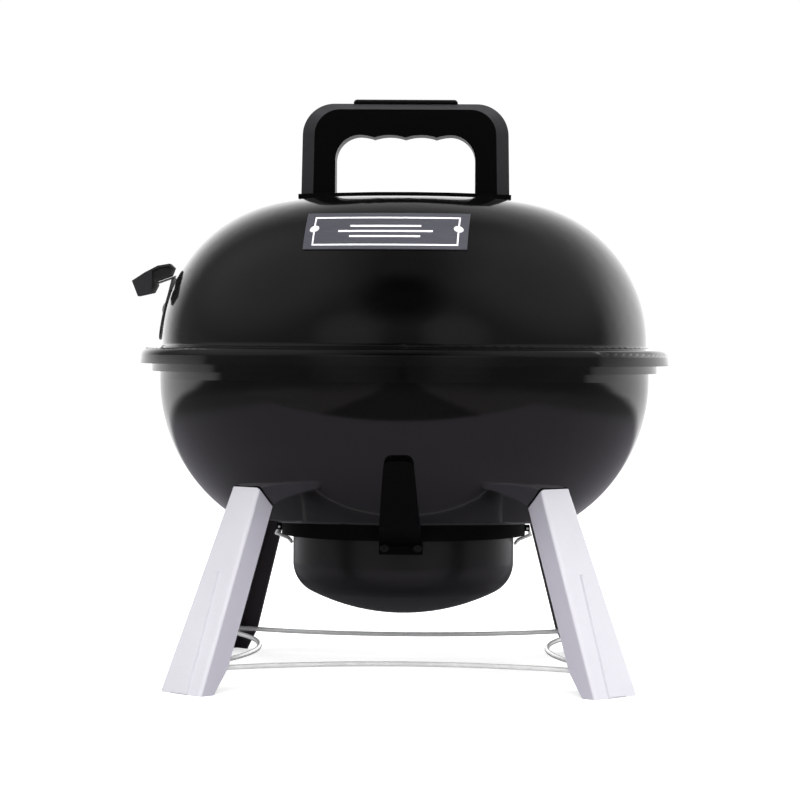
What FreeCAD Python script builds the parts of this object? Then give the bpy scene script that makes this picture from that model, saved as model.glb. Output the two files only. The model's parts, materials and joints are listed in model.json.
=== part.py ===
"""Portable tabletop kettle grill: a lid and bowl of enamelled sheet steel on four splayed legs.

The frame: +Z up, the floor at z = 0, the bowl's axis on Z, the front of the grill towards -Y.
Lengths are in millimetres and angles in degrees.
"""
import FreeCAD, Part
import math
import os
import re

import Sketcher

# Driving dimensions, as (name, value).
DIMENSIONS = [
    # sheet metal and clearances
    ("SheetWall", 1.0),
    ("Gap", 0.4),
    ("Contact", 0.05),
    # lid: one big arc, a flatter crown and a turned-down flange
    ("RimHeight", 223.0),
    ("FlangeRadius", 190.5),
    ("FlangeHeight", 11.2),
    ("FlangeCorner", 5.0),
    ("FlangeRise", 1.2),
    ("FlangeRoot", 3.0),
    ("LidArcRadius", 102.8),
    ("LidArcCentre", 72.35),
    ("LidArcLift", 15.36),
    ("LidCrownTangent", 86.5),
    ("LidCrownRise", 1.9),
    # bowl: one big arc, a rolled rim and a flat bottom with an ash hole
    ("BowlArcRadius", 117.5),
    ("BowlArcCentre", 58.7),
    ("BowlArcDrop", 11.0),
    ("BowlBottomHeight", 113.0),
    ("BowlKnuckle", 13.5),
    ("BowlKnuckleHeight", 115.4),
    ("BowlKnuckleInset", 0.82),
    ("BowlFlatRadius", 118.0),
    ("AshHoleRadius", 62.0),
    ("RimRollRadius", 3.4),
    ("RimRollBottom", 217.5),
    ("RimRollTop", 232.6),
    # handle
    ("HandleHalfWidth", 75.0),
    ("HandleTopHalfWidth", 74.2),
    ("HandleTop", 410.6),
    ("HandleCorner", 23.0),
    ("HandleCore", 14.0),
    ("HandleDepth", 30.0),
    ("HandleSideBevel", 9.0),
    ("HandleTopBevel", 4.6),
    ("HandleOpening", 50.2),
    ("HandleOpeningTop", 387.7),
    ("HandleOpeningCorner", 18.0),
    ("FingerPitch", 22.4),
    ("FingerDepth", 1.9),
    ("PadHalfWidth", 38.0),
    ("PadHeight", 3.0),
    ("PadDepth", 18.0),
    ("ShieldWall", 2.0),
    ("ShieldHalfWidth", 76.0),
    ("ShieldDrop", 1.8),
    ("ShieldDepth", 34.0),
    ("CrownHeight", 343.0),
    ("HandleScrewSpread", 62.5),
    # rotary damper on the left of the lid
    ("DamperTilt", 13.5),
    ("DamperRadius", 23.0),
    ("DamperWall", 1.0),
    ("DamperStandoff", 0.65),
    ("DamperDish", 150.0),
    ("DamperHoleRadius", 5.0),
    ("DamperHoleSpread", 13.0),
    ("DamperPivotRadius", 2.5),
    ("LeverLean", 33.5),
    ("LeverRoot", 24.8),
    ("LeverSink", 1.3),
    ("LeverStart", 6.0),
    ("LeverWidth", 10.0),
    ("LeverLength", 23.0),
    ("GripWidth", 15.0),
    # name plate on the front of the lid
    ("PlateWidth", 111.5),
    ("PlateWall", 0.8),
    ("PlateLowAngle", 37.5),
    ("PlateHighAngle", 58.5),
    ("PlateTurn", -4.3),
    ("PlateSweep", 70.0),
    # ash hole collar and ash bowl
    ("CollarRadius", 88.0),
    ("CollarHeight", 12.5),
    ("CollarFlange", 68.0),
    ("AshRadius", 79.6),
    ("AshTop", 101.0),
    ("AshLip", 3.5),
    ("AshKnuckleHeight", 80.2),
    ("AshKnuckleRadius", 23.3),
    ("AshKnuckleAngle", 63.2),
    ("AshWall", 0.8),
    # front grip of the ash bowl
    ("TongueTopWidth", 21.0),
    ("TongueWidth", 30.5),
    ("TongueWall", 3.0),
    ("TongueTopHeight", 158.5),
    ("TongueTurnHeight", 116.0),
    ("TongueGap", 1.6),
    ("TongueCorner", 6.0),
    ("TongueScrewSpread", 11.5),
    ("TongueScrewHeight", 96.0),
    # legs
    ("LegLean", 22.7),
    ("FootRadius", 209.0),
    ("LegLength", 150.2),
    ("LegTopWidth", 28.0),
    ("LegFootWidth", 43.0),
    ("LegWall", 1.2),
    ("LegEdge", 2.6),
    ("LegTopDepth", 16.4),
    ("LegKneeDepth", 17.2),
    ("LegKneeHeight", 26.0),
    ("LegFootDepth", 11.5),
    ("LegTopSlope", 24.7),
    ("RibHeight", 1.3),
    ("RibLength", 88.0),
    ("RibFootWidth", 18.0),
    ("RibTipWidth", 3.0),
    ("RibSlope", 32.0),
    ("LegTabDepth", 14.0),
    ("LegBoltInset", 8.5),
    # wire brace between the legs
    ("BraceHeight", 17.2),
    ("BraceWire", 1.75),
    ("BraceRadius", 184.5),
    ("BraceSpread", 12.5),
    ("BraceBow", 34.8),
    # grates
    ("CookRadius", 168.0),
    ("CookHeight", 208.0),
    ("CookRingWire", 3.0),
    ("CookRodWire", 1.6),
    ("CookPitch", 13.5),
    ("CoalRadius", 126.5),
    ("CoalHeight", 121.0),
    ("CoalRingWire", 2.5),
    ("CoalRodWire", 2.0),
    ("CoalPitch", 15.0),
    # fasteners
    ("BoltRadius", 2.5),
    ("BoltHead", 5.0),
    ("BoltHeadHeight", 3.0),
    ("RivetRadius", 1.6),
    ("RivetHead", 3.4),
    ("RivetHeadHeight", 1.4),
    ("NutLift", 1.6),
    ("ClipWire", 0.9),
    ("ClipSpread", 5.0),
    ("ClipRadius", 89.7),
    ("ClipHeight", 105.2),
    ("ClipEar", 4.0),
    ("EarWall", 1.2),
    ("PivotHead", 1.6),
    ("PivotTail", 1.2),
    ("SupportWall", 1.5),
    ("SupportHeight", 12.0),
    ("SupportReach", 12.0),
    ("SupportWidth", 14.0),
]

doc = FreeCAD.newDocument("tabletop_grill")
sheet = doc.addObject("Spreadsheet::Sheet", "Dims")
for row, (name, size) in enumerate(DIMENSIONS, start=1):
    sheet.set("A%d" % row, name)
    sheet.set("B%d" % row, str(size))
    sheet.setAlias("B%d" % row, name)
doc.recompute()

Z_AXIS = FreeCAD.Vector(0, 0, 1)
TINY = 1e-7


# ---------------------------------------------------------------- expressions and placements

def sized(text):
    """An expression with every name of the sheet written in full."""
    return re.sub(r"[A-Z][A-Za-z]+", lambda word: "Dims." + word.group(0), str(text))


def number(text):
    """The value of an expression in names of the sheet."""
    return float(sheet.evalExpression(sized(text)))


def bind(thing, prop, text):
    """Sets a size of an object now and binds it to the sheet."""
    setattr(thing, prop, number(text))
    thing.setExpression(prop, sized(text))


def facing(position, direction):
    """The placement that turns +Z to a direction and moves the origin to a position."""
    return FreeCAD.Placement(FreeCAD.Vector(*position), FreeCAD.Rotation(Z_AXIS, FreeCAD.Vector(*direction)))


def turned_about_z(angle):
    return FreeCAD.Placement(FreeCAD.Vector(), FreeCAD.Rotation(Z_AXIS, angle))


# ---------------------------------------------------------------- sketches and bodies

def new_body(label):
    body = doc.addObject("PartDesign::Body", label)
    body.Label = label
    return body


def edge_between(start, end, radius, turn):
    """A straight edge, or the short arc that turns left ("ccw") or right ("cw")."""
    if radius is None:
        return Part.LineSegment(start, end)
    chord = end - start
    half = chord.Length / 2
    left = FreeCAD.Vector(-chord.y, chord.x, 0).normalize()
    rise = math.sqrt(max(radius * radius - half * half, 0))
    side = 1 if turn == "ccw" else -1
    centre = (start + end) * 0.5 + left * (rise * side)
    first, last = (start, end) if turn == "ccw" else (end, start)
    low = math.atan2(first.y - centre.y, first.x - centre.x)
    high = math.atan2(last.y - centre.y, last.x - centre.x)
    if high < low:
        high += 2 * math.pi
    return Part.ArcOfCircle(Part.Circle(centre, Z_AXIS, radius), low, high)


def pin_corner(drawing, edge, end, corner):
    """Holds one end of an edge at (x, y) of the sheet's expressions."""
    for text, kind, axis in ((corner[0], "DistanceX", -2), (corner[1], "DistanceY", -1)):
        if abs(number(text)) < TINY:
            drawing.addConstraint(Sketcher.Constraint("PointOnObject", edge, end, axis))
        else:
            index = drawing.addConstraint(Sketcher.Constraint(kind, -1, 1, edge, end, number(text)))
            drawing.setExpression("Constraints[%d]" % index, sized(text))


def draw_loop(drawing, corners, closed=True):
    """Draws a chain of edges. A corner is (x, y) or, where an arc leads to it, (x, y, radius, turn)."""
    points = [FreeCAD.Vector(number(c[0]), number(c[1]), 0) for c in corners]
    count = len(corners) if closed else len(corners) - 1
    ends = []
    for i in range(count):
        j = (i + 1) % len(corners)
        radius, turn = corners[j][2:4] if len(corners[j]) > 2 else (None, None)
        size = None if radius is None else number(radius)
        edge = drawing.addGeometry(edge_between(points[i], points[j], size, turn), False)
        ends.append((edge, 2, 1) if turn == "cw" else (edge, 1, 2))
        if radius is not None:
            index = drawing.addConstraint(Sketcher.Constraint("Radius", edge, size))
            drawing.setExpression("Constraints[%d]" % index, sized(radius))
    for i in range(count if closed else count - 1):
        here, there = ends[i], ends[(i + 1) % count]
        drawing.addConstraint(Sketcher.Constraint("Coincident", here[0], here[2], there[0], there[1]))
    for i in range(count):
        pin_corner(drawing, ends[i][0], ends[i][1], corners[i])
    if not closed:
        pin_corner(drawing, ends[-1][0], ends[-1][2], corners[-1])


def new_sketch(body, name, role, loops, offset=None, closed=True):
    """A sketch on one of the body's own planes, with one or more loops."""
    drawing = body.newObject("Sketcher::SketchObject", name)
    plane = next(f for f in body.Origin.OriginFeatures if f.Role == role)
    drawing.AttachmentSupport = [(plane, "")]
    drawing.MapMode = "FlatFace"
    if offset is not None:
        drawing.AttachmentOffset = FreeCAD.Placement(FreeCAD.Vector(0, 0, number(offset)), FreeCAD.Rotation())
        drawing.setExpression(".AttachmentOffset.Base.z", sized(offset))
    for loop in loops:
        draw_loop(drawing, loop, closed)
    return drawing


def draw_circles(drawing, circles):
    """Adds circles given as (x, y, radius) of the sheet's expressions."""
    for x, y, radius in circles:
        centre = FreeCAD.Vector(number(x), number(y), 0)
        edge = drawing.addGeometry(Part.Circle(centre, Z_AXIS, number(radius)), False)
        index = drawing.addConstraint(Sketcher.Constraint("Radius", edge, number(radius)))
        drawing.setExpression("Constraints[%d]" % index, sized(radius))
        pin_corner(drawing, edge, 3, (x, y))


def turned(label, loop, angle="360", role="XZ_Plane"):
    """A body turned about its own upright axis from one outline of (radius, height)."""
    body = new_body(label)
    drawing = new_sketch(body, label + "_outline", role, [loop])
    turn = body.newObject("PartDesign::Revolution", label + "_turn")
    turn.Profile = drawing
    turn.ReferenceAxis = (drawing, ["V_Axis"])
    bind(turn, "Angle", angle)
    if angle != "360":
        turn.Midplane = True
    return body


def padded(body, name, role, loops, length, offset=None, midplane=False, flip=False):
    """A pad of one or more loops."""
    drawing = new_sketch(body, name + "_outline", role, loops, offset)
    pad = body.newObject("PartDesign::Pad", name)
    pad.Profile = drawing
    bind(pad, "Length", length)
    pad.Midplane = midplane
    pad.Reversed = flip
    return pad


def pocketed(body, name, role, loops, length, offset=None, midplane=False, flip=False):
    """A pocket of one or more loops, which must take material away."""
    doc.recompute()
    before = body.Shape.Volume
    drawing = new_sketch(body, name + "_outline", role, loops, offset)
    pocket = body.newObject("PartDesign::Pocket", name)
    pocket.Profile = drawing
    bind(pocket, "Length", length)
    pocket.Midplane = midplane
    pocket.Reversed = flip
    doc.recompute()
    if body.Shape.Volume > before - TINY:
        raise RuntimeError(name + " cuts nothing")
    return pocket


def edges_where(feature, test):
    """Names of the edges whose two ends pass a test together."""
    names = []
    for index, edge in enumerate(feature.Shape.Edges, start=1):
        if len(edge.Vertexes) == 2 and test(edge.Vertexes[0].Point, edge.Vertexes[1].Point):
            names.append("Edge%d" % index)
    return names


def rounded(body, name, feature, test, radius):
    """A fillet on the edges of a feature that pass a test."""
    doc.recompute()
    names = edges_where(feature, test)
    if not names:
        raise RuntimeError(name + " finds no edge")
    fillet = body.newObject("PartDesign::Fillet", name)
    fillet.Base = (feature, names)
    bind(fillet, "Radius", radius)
    doc.recompute()
    return fillet


def cylinder(name, radius, length, placement):
    rod = doc.addObject("Part::Cylinder", name)
    bind(rod, "Radius", radius)
    bind(rod, "Height", length)
    rod.Placement = placement
    return rod


def drilled(label, base, tools):
    """The base with every tool cut from it."""
    tool = tools[0]
    if len(tools) > 1:
        tool = doc.addObject("Part::MultiFuse", label + "_tools")
        tool.Shapes = tools
    cut = doc.addObject("Part::Cut", label + "_cut")
    cut.Base = base
    cut.Tool = tool
    cut.Label = label
    base.Label = label + "_blank"
    doc.recompute()
    if cut.Shape.Volume > base.Shape.Volume - TINY:
        raise RuntimeError(label + " is not cut")
    return cut


def grouped(label, pieces):
    """Separate solids that share one node."""
    group = doc.addObject("Part::Compound", label + "_group")
    group.Links = pieces
    group.Label = label
    return group


def welded(label, pieces):
    """Pieces joined to one solid."""
    joined = doc.addObject("Part::MultiFuse", label + "_weld")
    joined.Shapes = pieces
    joined.Label = label
    return joined


# ---------------------------------------------------------------- fasteners

def screw(name, shank, placement, radius="BoltRadius", head="BoltHead", height="BoltHeadHeight"):
    """A round-headed screw: shank down from z = 0, domed head above it with a driver recess."""
    body = turned(name, [
        ("0", "-(%s)" % shank),
        (radius, "-(%s)" % shank),
        (radius, "0"),
        (head, "0"),
        (head, "0.35*" + height),
        ("0.55*" + head, height, "0.9*" + head, "ccw"),
        ("0.3*" + head, height),
        ("0.3*" + head, "0.45*" + height),
        ("0", "0.45*" + height),
    ])
    body.Placement = placement
    return body


def rivet(name, grip, placement):
    """A rivet: a domed head above z = 0, a shank through the grip and a tail below it."""
    body = turned(name, [
        ("0", "-(%s) - 0.8*RivetHeadHeight" % grip),
        ("1.5*RivetRadius", "-(%s) - 0.8*RivetHeadHeight" % grip),
        ("1.6*RivetRadius", "-(%s)" % grip),
        ("RivetRadius", "-(%s)" % grip),
        ("RivetRadius", "0"),
        ("RivetHead", "0"),
        ("0", "RivetHeadHeight", "0.5*(RivetHead^2 + RivetHeadHeight^2)/RivetHeadHeight", "ccw"),
    ])
    body.Placement = placement
    return body


def hex_nut(name, placement):
    """A hexagon nut with a domed cap, standing on z = 0."""
    body = new_body(name)
    across = "1.15*BoltHead"
    corners = [("%s*cos(%d)" % (across, 60 * i), "%s*sin(%d)" % (across, 60 * i)) for i in range(6)]
    padded(body, name + "_hex", "XY_Plane", [corners], "BoltHeadHeight")
    cap = new_sketch(body, name + "_cap_outline", "XZ_Plane", [[
        ("0", "0.5*BoltHeadHeight"),
        ("0.8*BoltHead", "0.5*BoltHeadHeight"),
        ("0.8*BoltHead", "BoltHeadHeight"),
        ("0", "BoltHeadHeight + 0.8*BoltHead", "0.8*BoltHead", "ccw"),
    ]])
    turn = body.newObject("PartDesign::Revolution", name + "_cap")
    turn.Profile = cap
    turn.ReferenceAxis = (cap, ["V_Axis"])
    doc.recompute()
    bore = new_sketch(body, name + "_bore_outline", "XY_Plane", [])
    draw_circles(bore, [("0", "0", "BoltRadius + Contact")])
    hole = body.newObject("PartDesign::Pocket", name + "_bore")
    hole.Profile = bore
    bind(hole, "Length", "BoltHeadHeight + 0.3*BoltHead")
    hole.Reversed = True
    body.Placement = placement
    return body


# ---------------------------------------------------------------- lid

LID_ARC_HEIGHT = "(RimHeight + LidArcLift)"
BOWL_ARC_HEIGHT = "(RimHeight - BowlArcDrop)"
SHIELD_ARC = "(0.5*(ShieldHalfWidth^2 + ShieldDrop^2)/ShieldDrop)"
VENT_TURNS = (0, 120, 240)
PLATE_RIVET_ANGLE = 48.0
PLATE_RIVET_TURN = 20.3


def on_lid(angle, outward="0"):
    """(radius, height) on the lid's big arc at an angle above level, moved outward."""
    reach = "(LidArcRadius + %s)" % outward
    return ("LidArcCentre + %s*cos(%s)" % (reach, angle), "%s + %s*sin(%s)" % (LID_ARC_HEIGHT, reach, angle))


def on_bowl(height, outward="0"):
    """Radius of the bowl's big arc at a height, moved outward."""
    reach = "(BowlArcRadius + %s)" % outward
    return "BowlArcCentre + sqrt(%s^2 - (%s - (%s))^2)" % (reach, BOWL_ARC_HEIGHT, height)


def lid_frame(angle, turn, outward="0"):
    """A placement on the lid: +Z is the outward normal and +X points down the slope."""
    radius, height = (number(text) for text in on_lid(angle, outward))
    tilt = number(angle)
    lean = FreeCAD.Rotation(FreeCAD.Vector(0, 1, 0), 90 - tilt)
    local = FreeCAD.Placement(FreeCAD.Vector(radius, 0, height), lean)
    return turned_about_z(turn) * local


def damper_frame():
    """The damper's own frame, at its pivot just off the left of the lid."""
    return lid_frame("DamperTilt", 180, "DamperStandoff")


def plate_rivet_frames():
    """Where the two rivets of the name plate stand."""
    front = -90 + number("PlateTurn")
    turns = (front - PLATE_RIVET_TURN, front + PLATE_RIVET_TURN)
    return [lid_frame(str(PLATE_RIVET_ANGLE), turn, "PlateWall + 4*Contact") for turn in turns]


def shifted(frame, x, y, z):
    return frame * FreeCAD.Placement(FreeCAD.Vector(x, y, z), FreeCAD.Rotation())


def handle_screw_holes(name, base_height):
    """Upright drills for the two handle screws."""
    drills = []
    for side in (-1, 1):
        spot = (side * number("HandleScrewSpread"), 0, base_height)
        drills.append(cylinder(name, "BoltRadius + 2*Contact", "16", facing(spot, (0, 0, 1))))
    return drills


def plate_rivet_holes(name):
    return [cylinder(name, "RivetRadius", "12", shifted(frame, 0, 0, -6)) for frame in plate_rivet_frames()]


def vent_drills(name, frame):
    """Drills for the three vent holes round the damper's axis."""
    spread = number("DamperHoleSpread")
    drills = []
    for turn in VENT_TURNS:
        x = spread * math.cos(math.radians(turn))
        y = spread * math.sin(math.radians(turn))
        drills.append(cylinder(name, "DamperHoleRadius", "20", shifted(frame, x, y, -10)))
    return drills


def dome_arc(half, rise):
    """Radius of a shallow dome whose centre lies on the axis."""
    return "(0.5*((%s)^2 + %s^2)/%s)" % (half, rise, rise)


def make_lid():
    """The pressed lid shell with its turned-down flange, and its vent, screw and rivet holes."""
    wall_foot = "(RimHeight + FlangeHeight + FlangeRise + FlangeRoot)"
    low = "asin((%s - %s)/LidArcRadius)" % (wall_foot, LID_ARC_HEIGHT)
    outer_low = on_lid(low)
    inner_low = on_lid(low, "-SheetWall")
    crown = on_lid("LidCrownTangent")
    inner_crown = on_lid("LidCrownTangent", "-SheetWall")
    crown_top = "%s + LidCrownRise" % crown[1]
    inner_top = crown_top + " - SheetWall"
    flange_top = "RimHeight + FlangeHeight"
    root = "%s + FlangeRoot" % outer_low[0]
    shell = turned("lid_shell", [
        ("FlangeRadius", "RimHeight"),
        ("FlangeRadius", flange_top + " - FlangeCorner"),
        ("FlangeRadius - FlangeCorner", flange_top, "FlangeCorner", "ccw"),
        (root, flange_top + " + FlangeRise"),
        (outer_low[0], outer_low[1], "FlangeRoot", "cw"),
        (crown[0], crown[1], "LidArcRadius", "ccw"),
        ("0", crown_top, dome_arc(crown[0], "LidCrownRise"), "ccw"),
        ("0", inner_top),
        (inner_crown[0], inner_crown[1],
         dome_arc(inner_crown[0], "(%s - (%s))" % (inner_top, inner_crown[1])), "cw"),
        (inner_low[0], inner_low[1], "LidArcRadius - SheetWall", "cw"),
        (root, flange_top + " + FlangeRise - SheetWall", "FlangeRoot + SheetWall", "ccw"),
        ("FlangeRadius - FlangeCorner", flange_top + " - SheetWall"),
        ("FlangeRadius - SheetWall", flange_top + " - FlangeCorner", "FlangeCorner - SheetWall", "cw"),
        ("FlangeRadius - SheetWall", "RimHeight"),
    ])
    frame = damper_frame()
    drills = [cylinder("lid_pivot_hole", "DamperPivotRadius", "20", shifted(frame, 0, 0, -10))]
    drills += vent_drills("lid_vent", frame)
    drills += handle_screw_holes("lid_screw_hole", number("CrownHeight") - 12)
    drills += plate_rivet_holes("lid_rivet_hole")
    return drilled("lid", shell, drills)


def foot_height(half, lift):
    """Height of the heat shield's curved top at a distance from the axis."""
    return "CrownHeight + %s - 0.5*(%s)^2/%s" % (lift, half, SHIELD_ARC)


def handle_outline(inset, top_inset):
    """Front view of the handle, moved in at the sides and at the top."""
    half = "(HandleHalfWidth - %s)" % inset
    half_top = "(HandleTopHalfWidth - %s)" % inset
    top = "(HandleTop - %s)" % top_inset
    corner = "(HandleCorner - 0.5*%s)" % inset
    foot = foot_height(half, "ShieldWall + Contact")
    return [
        (half, foot, SHIELD_ARC, "cw"),
        (half_top, "%s - %s" % (top, corner)),
        ("%s - %s" % (half_top, corner), top, corner, "ccw"),
        ("%s - %s" % (corner, half_top), top),
        ("-" + half_top, "%s - %s" % (top, corner), corner, "ccw"),
        ("-" + half, foot),
    ]


def finger_opening():
    """The handle's opening, with four finger grooves along its top."""
    edge = "HandleOpening"
    top = "HandleOpeningTop"
    corner = "HandleOpeningCorner"
    ridge = "%s - FingerDepth" % top
    groove = "0.5*(0.25*FingerPitch^2 + FingerDepth^2)/FingerDepth"
    loop = [
        ("-" + edge, "CrownHeight - 2"),
        (edge, "CrownHeight - 2"),
        (edge, "%s - %s" % (top, corner)),
        ("%s - %s" % (edge, corner), top, corner, "ccw"),
        ("FingerPitch", ridge, groove, "ccw"),
    ]
    for x in ("0", "-FingerPitch"):
        loop.append((x, ridge, groove, "ccw"))
    loop.append(("%s - %s" % (corner, edge), top, groove, "ccw"))
    loop.append(("-" + edge, "%s - %s" % (top, corner), corner, "ccw"))
    return loop


def make_handle():
    """The moulded carrying handle: a core, a bevelled face each side, and finger grooves."""
    body = new_body("handle_body")
    padded(body, "handle_core", "XZ_Plane", [handle_outline("0", "0")], "HandleCore", midplane=True)
    for name, side in (("front", "1"), ("back", "-1")):
        steps = (("root", "0", "0", "HandleCore"), ("face", "HandleSideBevel", "HandleTopBevel", "HandleDepth"))
        sketches = []
        for step, inset, top_inset, depth in steps:
            sketches.append(new_sketch(body, "handle_%s_%s" % (name, step), "XZ_Plane",
                                       [handle_outline(inset, top_inset)], offset="%s*0.5*%s" % (side, depth)))
        bevel = body.newObject("PartDesign::AdditiveLoft", "handle_" + name)
        bevel.Profile = sketches[0]
        bevel.Sections = [sketches[1]]
        bevel.Ruled = True
        doc.recompute()
    pocketed(body, "handle_opening", "XZ_Plane", [finger_opening()], "2*HandleDepth", midplane=True)
    return drilled("lid_handle", body, handle_screw_holes("handle_bore", number("CrownHeight") - 2))


def make_handle_trim():
    """The soft pad on the handle, the heat shield under its feet and the screws that hold it."""
    pad = new_body("handle_top_pad")
    padded(pad, "top_pad", "XZ_Plane", [[
        ("-PadHalfWidth", "HandleTop"),
        ("PadHalfWidth", "HandleTop"),
        ("PadHalfWidth - 0.5*PadHeight", "HandleTop + PadHeight"),
        ("0.5*PadHeight - PadHalfWidth", "HandleTop + PadHeight"),
    ]], "PadDepth", midplane=True)
    plate = new_body("shield_plate")
    low = "CrownHeight - ShieldDrop"
    padded(plate, "shield", "XZ_Plane", [[
        ("-ShieldHalfWidth", low),
        ("ShieldHalfWidth", low, SHIELD_ARC, "cw"),
        ("ShieldHalfWidth", low + " + ShieldWall"),
        ("-ShieldHalfWidth", low + " + ShieldWall", SHIELD_ARC, "ccw"),
    ]], "ShieldDepth", midplane=True)
    shield = drilled("handle_heat_shield", plate, handle_screw_holes("shield_hole", number("CrownHeight") - 8))
    screws = []
    head_height = number("CrownHeight") - number("ShieldDrop") - number("SheetWall") + 4 * number("Contact")
    for side in (-1, 1):
        spot = (side * number("HandleScrewSpread"), 0, head_height)
        screws.append(screw("handle_screw", "14", facing(spot, (0, 0, -1))))
    return [pad, shield, grouped("handle_screws", screws)]


def make_name_plate():
    """A plain curved plate on the front of the lid, and its two rivets."""
    inner, outer = "(3*Contact)", "(3*Contact + PlateWall)"
    band = turned("name_plate_band", [
        on_lid("PlateLowAngle", inner) + ("LidArcRadius + " + inner, "cw"),
        on_lid("PlateLowAngle", outer),
        on_lid("PlateHighAngle", outer) + ("LidArcRadius + " + outer, "ccw"),
        on_lid("PlateHighAngle", inner),
    ], angle="PlateSweep")
    front = turned_about_z(-90 + number("PlateTurn"))
    band.Placement = front
    block = doc.addObject("Part::Box", "name_plate_block")
    bind(block, "Length", "FlangeRadius")
    bind(block, "Width", "PlateWidth")
    bind(block, "Height", "2*RimHeight")
    block.Placement = shifted(front, 0, -number("PlateWidth") / 2, 0)
    strip = doc.addObject("Part::Common", "name_plate_strip")
    strip.Base = band
    strip.Tool = block
    doc.recompute()
    plate = drilled("name_plate", strip, plate_rivet_holes("plate_rivet_hole"))
    rivets = [rivet("plate_rivet", "PlateWall + SheetWall + 7*Contact", frame) for frame in plate_rivet_frames()]
    return [plate, grouped("name_plate_rivets", rivets)]


# ---------------------------------------------------------------- damper

def lever_point(along, up):
    """(x, z) in the damper's frame of a point along the lever and up from its tab."""
    x = "(DamperWall - LeverRoot) + (%s)*sin(LeverLean) - (%s)*cos(LeverLean)" % (along, up)
    z = "(DamperWall - LeverSink) + (%s)*cos(LeverLean) + (%s)*sin(LeverLean)" % (along, up)
    return (x, z)


def tab_outline():
    """Side view of the bent-out tab."""
    return [
        ("-LeverStart", "0.2*DamperWall"),
        ("-LeverStart", "DamperWall"),
        lever_point("2", "-DamperWall"),
        lever_point("LeverLength", "-DamperWall"),
        lever_point("LeverLength", "0"),
        lever_point("0", "0"),
        ("4*Contact - LeverRoot", "4*Contact - LeverSink"),
    ]


def grip_outline():
    """Side view of the plastic grip: a thumb ramp that ends in a thicker block."""
    shape = [("12.6", "0.9"), ("13.2", "-2.2"), ("17.7", "-6.3"), ("29.1", "-4.8"), ("29.4", "7.2"),
             ("18.9", "9.7"), ("8.2", "11.2"), ("-0.6", "9.6"), ("-2.6", "5.6"), ("1.5", "0.9")]
    return [lever_point(along, up) for along, up in shape]


def make_damper():
    """The dished damper disc with a bent-out lever strip, its plastic grip and its rivet."""
    frame = damper_frame()
    hub, rim = [(x, "(sqrt(DamperDish^2 - %s^2) - DamperDish)" % x) for x in ("DamperPivotRadius", "DamperRadius")]
    dish = turned("damper_dish", [
        hub,
        rim + ("DamperDish", "cw"),
        (rim[0], rim[1] + " + DamperWall"),
        (hub[0], hub[1] + " + DamperWall", "DamperDish", "ccw"),
    ])
    dish.Placement = frame
    strip = new_body("damper_strip")
    padded(strip, "damper_tab", "XZ_Plane", [tab_outline()], "LeverWidth", midplane=True)
    strip.Placement = frame
    disc = drilled("lid_damper", welded("damper_plate", [dish, strip]), vent_drills("damper_vent", frame))
    grip = new_body("damper_lever_grip")
    padded(grip, "grip_block", "XZ_Plane", [grip_outline()], "GripWidth", midplane=True)
    slot = [lever_point("-4", "Contact"), lever_point("-4", "-DamperWall - Contact"),
            lever_point("LeverLength + Contact", "-DamperWall - Contact"),
            lever_point("LeverLength + Contact", "Contact")]
    pocketed(grip, "grip_slot", "XZ_Plane", [slot], "LeverWidth + 2*Contact", midplane=True)
    grip.Placement = frame
    tail = "-(DamperStandoff + SheetWall + 4*Contact)"
    seat = "DamperWall + 2*Contact"
    pin = turned("damper_rivet", [
        ("0", tail + " - PivotTail"),
        ("1.5*DamperPivotRadius", tail + " - PivotTail"),
        ("1.5*DamperPivotRadius", tail),
        ("DamperPivotRadius - Contact", tail),
        ("DamperPivotRadius - Contact", seat),
        ("2*DamperPivotRadius", seat),
        ("0", seat + " + PivotHead", dome_arc("2*DamperPivotRadius", "PivotHead"), "ccw"),
    ])
    pin.Placement = frame
    return [disc, grip, pin]


# ---------------------------------------------------------------- bowl and what is welded to it

def make_bowl():
    """The pressed bowl with a rolled rim, a flat bottom, an ash hole and leg bolt holes."""
    inside = "BowlArcCentre + BowlArcRadius - SheetWall"
    roll_height = "RimRollTop - RimRollRadius"
    lip = inside + " + 2*RimRollRadius"
    inner_knuckle = "BowlKnuckleHeight + BowlKnuckleInset"
    shell = turned("bowl_shell", [
        (inside, roll_height),
        (inside + " + RimRollRadius", "RimRollTop", "RimRollRadius", "cw"),
        (lip, roll_height, "RimRollRadius", "cw"),
        (lip, "RimRollBottom"),
        (lip + " - SheetWall", "RimRollBottom"),
        (lip + " - SheetWall", roll_height),
        (inside + " + RimRollRadius", "RimRollTop - SheetWall", "RimRollRadius - SheetWall", "ccw"),
        (inside + " + SheetWall", roll_height, "RimRollRadius - SheetWall", "ccw"),
        (inside + " + SheetWall", BOWL_ARC_HEIGHT),
        (on_bowl("BowlKnuckleHeight"), "BowlKnuckleHeight", "BowlArcRadius", "cw"),
        ("BowlFlatRadius", "BowlBottomHeight", "BowlKnuckle", "cw"),
        ("AshHoleRadius", "BowlBottomHeight"),
        ("AshHoleRadius", "BowlBottomHeight + SheetWall"),
        ("BowlFlatRadius", "BowlBottomHeight + SheetWall"),
        (on_bowl(inner_knuckle, "-SheetWall"), inner_knuckle, "BowlKnuckle - SheetWall", "ccw"),
        (inside, BOWL_ARC_HEIGHT, "BowlArcRadius - SheetWall", "ccw"),
    ])
    drills = [cylinder("bowl_bolt_hole", "BoltRadius + 2*Contact", "16", shifted(leg_bolt_frame(turn), 0, 0, -8))
              for turn in LEG_TURNS.values()]
    return drilled("bowl", shell, drills)


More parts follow.
